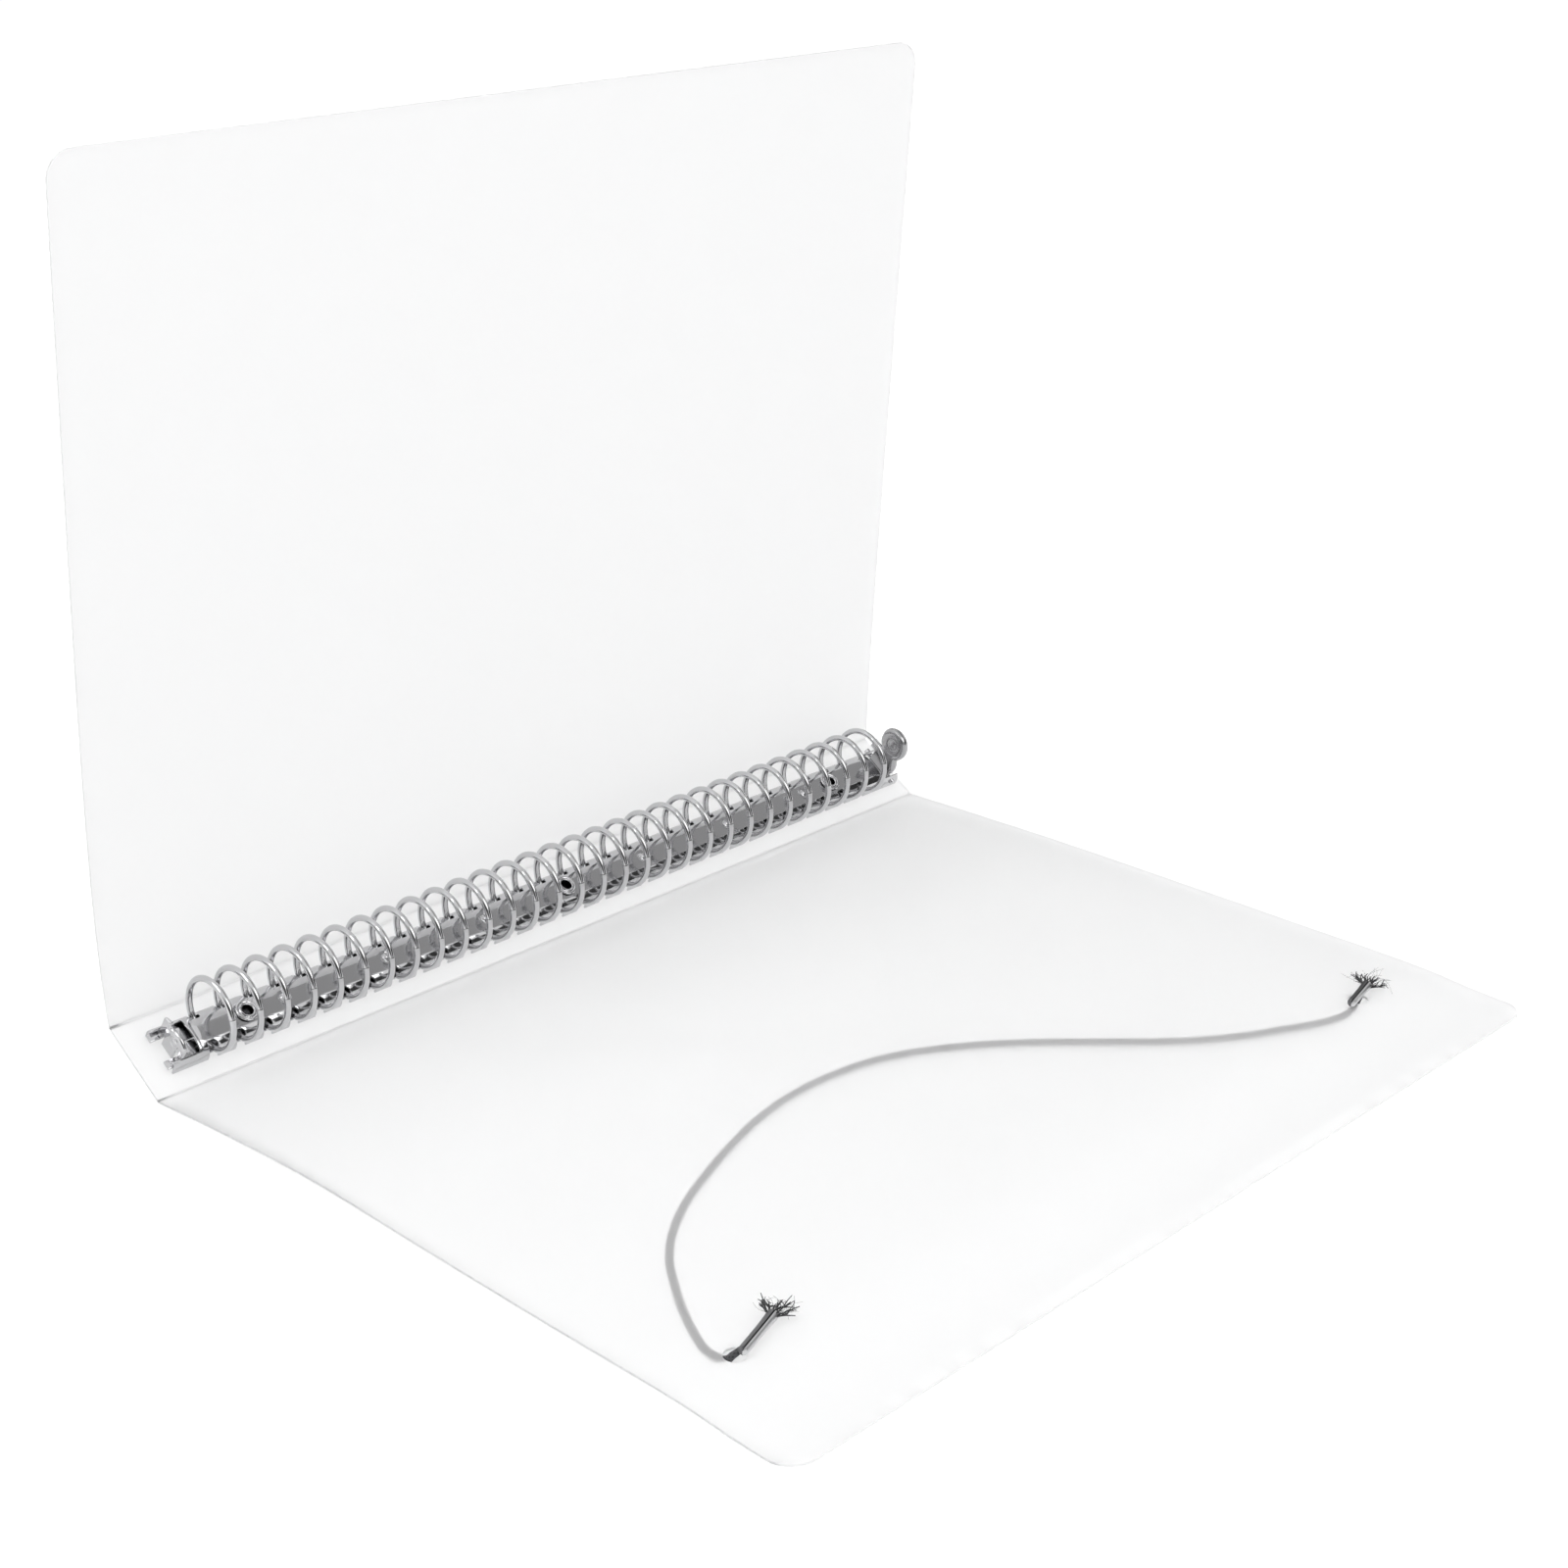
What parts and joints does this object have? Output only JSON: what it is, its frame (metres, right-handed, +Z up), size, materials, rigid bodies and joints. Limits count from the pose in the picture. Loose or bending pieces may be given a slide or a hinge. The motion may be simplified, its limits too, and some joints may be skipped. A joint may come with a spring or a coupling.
{
  "type": "plastic ring binder",
  "caption": "Frosted plastic multi-ring binder, opened, with a metal ring mechanism and an elastic closing cord through its front cover.",
  "frame": {"origin": "centre of the folded covers' footprint on the table, at its lowest face", "axes": "+Y along the spine and the rings, from the tab end to the lever end; +X from the upright cover to the outer edge of the lying cover; +Z up"},
  "size_m": [0.2744, 0.32, 0.2656],
  "materials": {
    "frosted_sheet": "frosted translucent, satin",
    "plated_steel": "bright nickel plated, polished",
    "braided_elastic": "fine braid, matt",
    "crimped_metal": "satin, crimped"
  },
  "bodies": {
    "front_cover": {"front_cover": "frosted_sheet", "elastic_cord": "braided_elastic", "near_cord_tip": "crimped_metal", "far_cord_tip": "crimped_metal"},
    "spine": {"spine_panel": "frosted_sheet", "mechanism_shield": "plated_steel", "near_rivet": "plated_steel", "middle_rivet": "plated_steel", "far_rivet": "plated_steel", "near_end_plate": "plated_steel", "lever_pin": "plated_steel"},
    "back_cover": {"back_cover": "frosted_sheet"},
    "left_rings": {"left_ring_bar": "plated_steel"},
    "right_rings": {"right_ring_bar": "plated_steel"},
    "lever": {"opening_lever": "plated_steel"}
  },
  "joints": [
    {"name": "front_fold", "type": "hinge", "parent": "front_cover", "child": "spine", "pos_m": [-0.1128, 0, 0.0004], "axis": [0, 1, 0], "range_deg": [-34.8, 46]},
    {"name": "back_fold", "type": "hinge", "parent": "spine", "child": "back_cover", "pos_m": [-0.13497, 0, 0.01581], "axis": [0, 1, 0], "range_deg": [-60.1, 24.4]},
    {"name": "left_rings_open", "type": "hinge", "parent": "spine", "child": "left_rings", "pos_m": [-0.12783, 0, 0.01365], "axis": [0, -1, 0], "range_deg": [0, 10]},
    {"name": "right_rings_open", "type": "hinge", "parent": "spine", "child": "right_rings", "pos_m": [-0.11732, 0, 0.00634], "axis": [0, 1, 0], "range_deg": [0, 10]},
    {"name": "lever_swing", "type": "hinge", "parent": "spine", "child": "lever", "pos_m": [-0.12229, 0.154, 0.0104], "axis": [-0.8212, 0, 0.5707], "range_deg": [0, 60]}
  ],
  "couplings": [
    {"joint": "right_rings_open", "follows": "left_rings_open", "ratio": 1},
    {"joint": "lever_swing", "follows": "left_rings_open", "ratio": 6}
  ]
}
